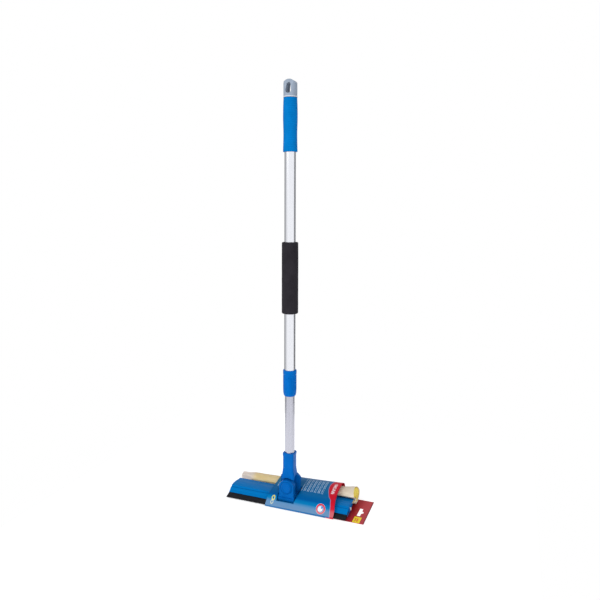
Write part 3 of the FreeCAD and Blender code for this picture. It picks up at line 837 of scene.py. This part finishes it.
def sponge_net():
    """Knitted sleeve round the roll, longer than it on the left, where it is slack."""
    low, high, count = -121.8, 125.9, 132

    def folds(x, angle):
        slack = step(-x, 92.0, 112.0)
        creases = math.sin(5 * angle + 0.9) + 0.6 * math.sin(11 * angle + x * 0.08)
        spot = Vector((x * 0.045, math.cos(angle) * 2, math.sin(angle) * 2))
        swell = 0.3 * noise.noise(spot) - 0.3
        pull = -0.5 * math.exp(-((x - 123.5) / 2.0) ** 2)
        return slack * (0.8 * creases - 1.6) + swell + pull

    stations = [low + (high - low) * k / 110 for k in range(111)]
    rings = [roll_ring(x, 0.35, count, folds) for x in stations]
    # a turned-in hem closes the sleeve's left end a little
    for x, share in ((low + 0.5, 0.9), (low + 2.5, 0.84), (low + 5.0, 0.82)):
        y0, z0 = roll_at(low)[:2]
        ring = [(x, y0 + (y - y0) * share, z0 + (z - z0) * share) for _, y, z in rings[0]]
        rings.insert(0, ring)
    points = [lean(p) for ring in rings for p in ring]
    uvs = []
    for r, ring in enumerate(rings):
        for k, (x, _, _) in enumerate(ring):
            uvs.append(((x - low) / (high - low), k / count))
    faces = [tuple(reversed(f)) for f in grid(len(rings), count, closed=True)]
    net = piece("sponge_net_knit", points, faces, "head", "knit", ["sponge_net"], uvs)
    apply_modifier(net, "SOLIDIFY", thickness=NET_THICK * MM, offset=1.0)


def sponge_hem():
    """Hem tape of the net, from under the roll into the head's channel."""
    low, high, count = -119.5, 125.5, 124
    line = ((4.8, 7.5), (12.5, 9.0), (20.5, 10.5), (30.6, 11.25))
    points = []
    for k in range(count + 1):
        x = low + (high - low) * k / count
        for y, z in line:
            frayed = 1 - step(y, 14.0, 30.0) * (0.75 + 0.25 * math.sin(y * 1.3))
            points.append((min(x, high - 5.5 * frayed), y, z - 1.2 * step(x, 121.5, 125.5)))
    hem = piece("sponge_net_hem", points, grid(count + 1, len(line)), "head", "tape",
                ["sponge_tail"])
    apply_modifier(hem, "SOLIDIFY", thickness=HEM_THICK * MM, offset=0.0)


sponge_core()
sponge_net()
sponge_hem()

# ---- printed wrap --------------------------------------------------------------------------
WRAP_X = (-38.0, 99.0)
WRAP_LEFT = ((-35.6, 1.3), (-26.8, 8.6), (-20.6, 17.2), (-11.2, 20.2), (10.1, 23.4), (36.7, 26.4),
             (50.4, 25.2), (61.0, 20.0), (64.0, 11.0), (61.0, 3.0), (55.0, 0.6), (-35.0, 0.6))
WRAP_RIGHT = ((-35.8, 2.0), (-26.4, 8.2), (-20.2, 17.0), (-12.9, 22.6), (5.0, 27.6), (33.3, 31.8),
              (49.0, 31.6), (61.0, 25.0), (65.0, 14.0), (61.0, 3.0), (55.0, 0.6), (-35.0, 0.6))
# how wide each corner of the outline is rounded, in millimetres
BENDS = (0.15, 4.0, 5.0, 6.0, 9.0, 8.0, 6.5, 5.0, 4.5, 3.5, 2.5, 0.15)


def rounded(corners, bends, steps=7, run=9):
    """Closed outline with rounded corners, and for each point how far round it is, in corners."""
    count = len(corners)
    made = []
    for k, corner in enumerate(corners):
        here = Vector(corner)
        before, after = Vector(corners[k - 1]), Vector(corners[(k + 1) % count])
        back, ahead = before - here, after - here
        reach_back = min(bends[k], 0.48 * back.length)
        reach_ahead = min(bends[k], 0.48 * ahead.length)
        start = here + back.normalized() * reach_back
        end = here + ahead.normalized() * reach_ahead
        for j in range(steps + 1):
            t = j / steps
            spot = start * (1 - t) ** 2 + here * 2 * t * (1 - t) + end * t * t
            turn = k - (1 - t) * reach_back / back.length + t * reach_ahead / ahead.length
            made.append((spot, turn if turn >= 0 else turn + count))
        gap = min(bends[(k + 1) % count], 0.48 * ahead.length)
        stop = after - ahead.normalized() * gap
        first, last = k + reach_ahead / ahead.length, k + 1 - gap / ahead.length
        for j in range(1, run):
            t = j / run
            made.append((end.lerp(stop, t), first + (last - first) * t))
    return made


def film_tool():
    """Solid whose shape is the window for the swivel, with rounded corners."""
    window = ((-17.6, -42.0), (17.6, -42.0), (17.6, -24.0), (22.3, -16.0), (22.3, 13.5),
              (-22.3, 13.5), (-22.3, -4.0), (-17.6, -8.0))
    edge = [spot for spot, _ in rounded(window, (1.0, 1.0, 2.0, 3.0, 4.0, 4.0, 2.0, 2.0), 6, 2)]
    count = len(edge)
    points = [Vector((p.x, p.y, z)) * MM for z in (9.9, 60.0) for p in edge]
    faces = [tuple(reversed(f)) for f in grid(2, count, closed=True)]
    faces += [tuple(reversed(range(count))), tuple(range(count, 2 * count))]
    mesh = bpy.data.meshes.new("window")
    mesh.from_pydata(points, [], faces)
    face_outward(mesh)
    tool = bpy.data.objects.new("window", mesh)
    bpy.context.scene.collection.objects.link(tool)
    return tool


def printed_wrap():
    """Film bent round the head, a little slack between its folds, cut away round the swivel."""
    left, right = rounded(WRAP_LEFT, BENDS), rounded(WRAP_RIGHT, BENDS)
    columns, middle = 92, Vector((20.0, 8.0))
    points, uvs = [], []
    for c in range(columns + 1):
        share = c / columns
        x = WRAP_X[0] + (WRAP_X[1] - WRAP_X[0]) * share
        for (a, turn), (b, _) in zip(left, right):
            spot = a.lerp(b, share)
            # slack: the film waves gently, but its folds and its underside stay put
            fold = abs(turn - round(turn))
            free = step(turn, 1.0, 2.2) * (1 - step(turn, 8.6, 9.6)) * (0.35 + fold)
            wave = noise.noise(Vector((x * 0.035, spot.x * 0.05, spot.y * 0.05)))
            wave += 0.4 * noise.noise(Vector((x * 0.11, spot.x * 0.13, 3.0)))
            out = (spot - middle).normalized()
            spot = spot + out * free * (0.55 * wave + 0.1)
            # both ends are cut at a slant
            rise = step(turn, 0.5, 5.0) * (1 - step(turn, 7.5, 9.5))
            x_cut = x + rise * (3.0 * (1 - step(share, 0.0, 0.12)) - 4.2 * step(share, 0.75, 1.0))
            points.append((x_cut, spot.x, spot.y))
            uvs.append((share, turn / CORNERS))
    faces = grid(columns + 1, len(left), closed=True)
    wrap = piece("wrap_film", points, faces, "head", "film", ["printed_wrap"], uvs)
    # the faces that join the outline's end to its start run on past v = 1
    layer = wrap.data.uv_layers[0].data
    for polygon in wrap.data.polygons:
        loops = list(polygon.loop_indices)
        if max(layer[k].uv[1] for k in loops) - min(layer[k].uv[1] for k in loops) > 0.5:
            for k in loops:
                if layer[k].uv[1] < 0.5:
                    layer[k].uv[1] += 1.0
    apply_modifier(wrap, "SOLIDIFY", thickness=FILM_THICK * MM, offset=0.0)
    tool = film_tool()
    apply_modifier(wrap, "BOOLEAN", operation="DIFFERENCE", object=tool, solver="EXACT")
    bpy.data.objects.remove(tool)


printed_wrap()
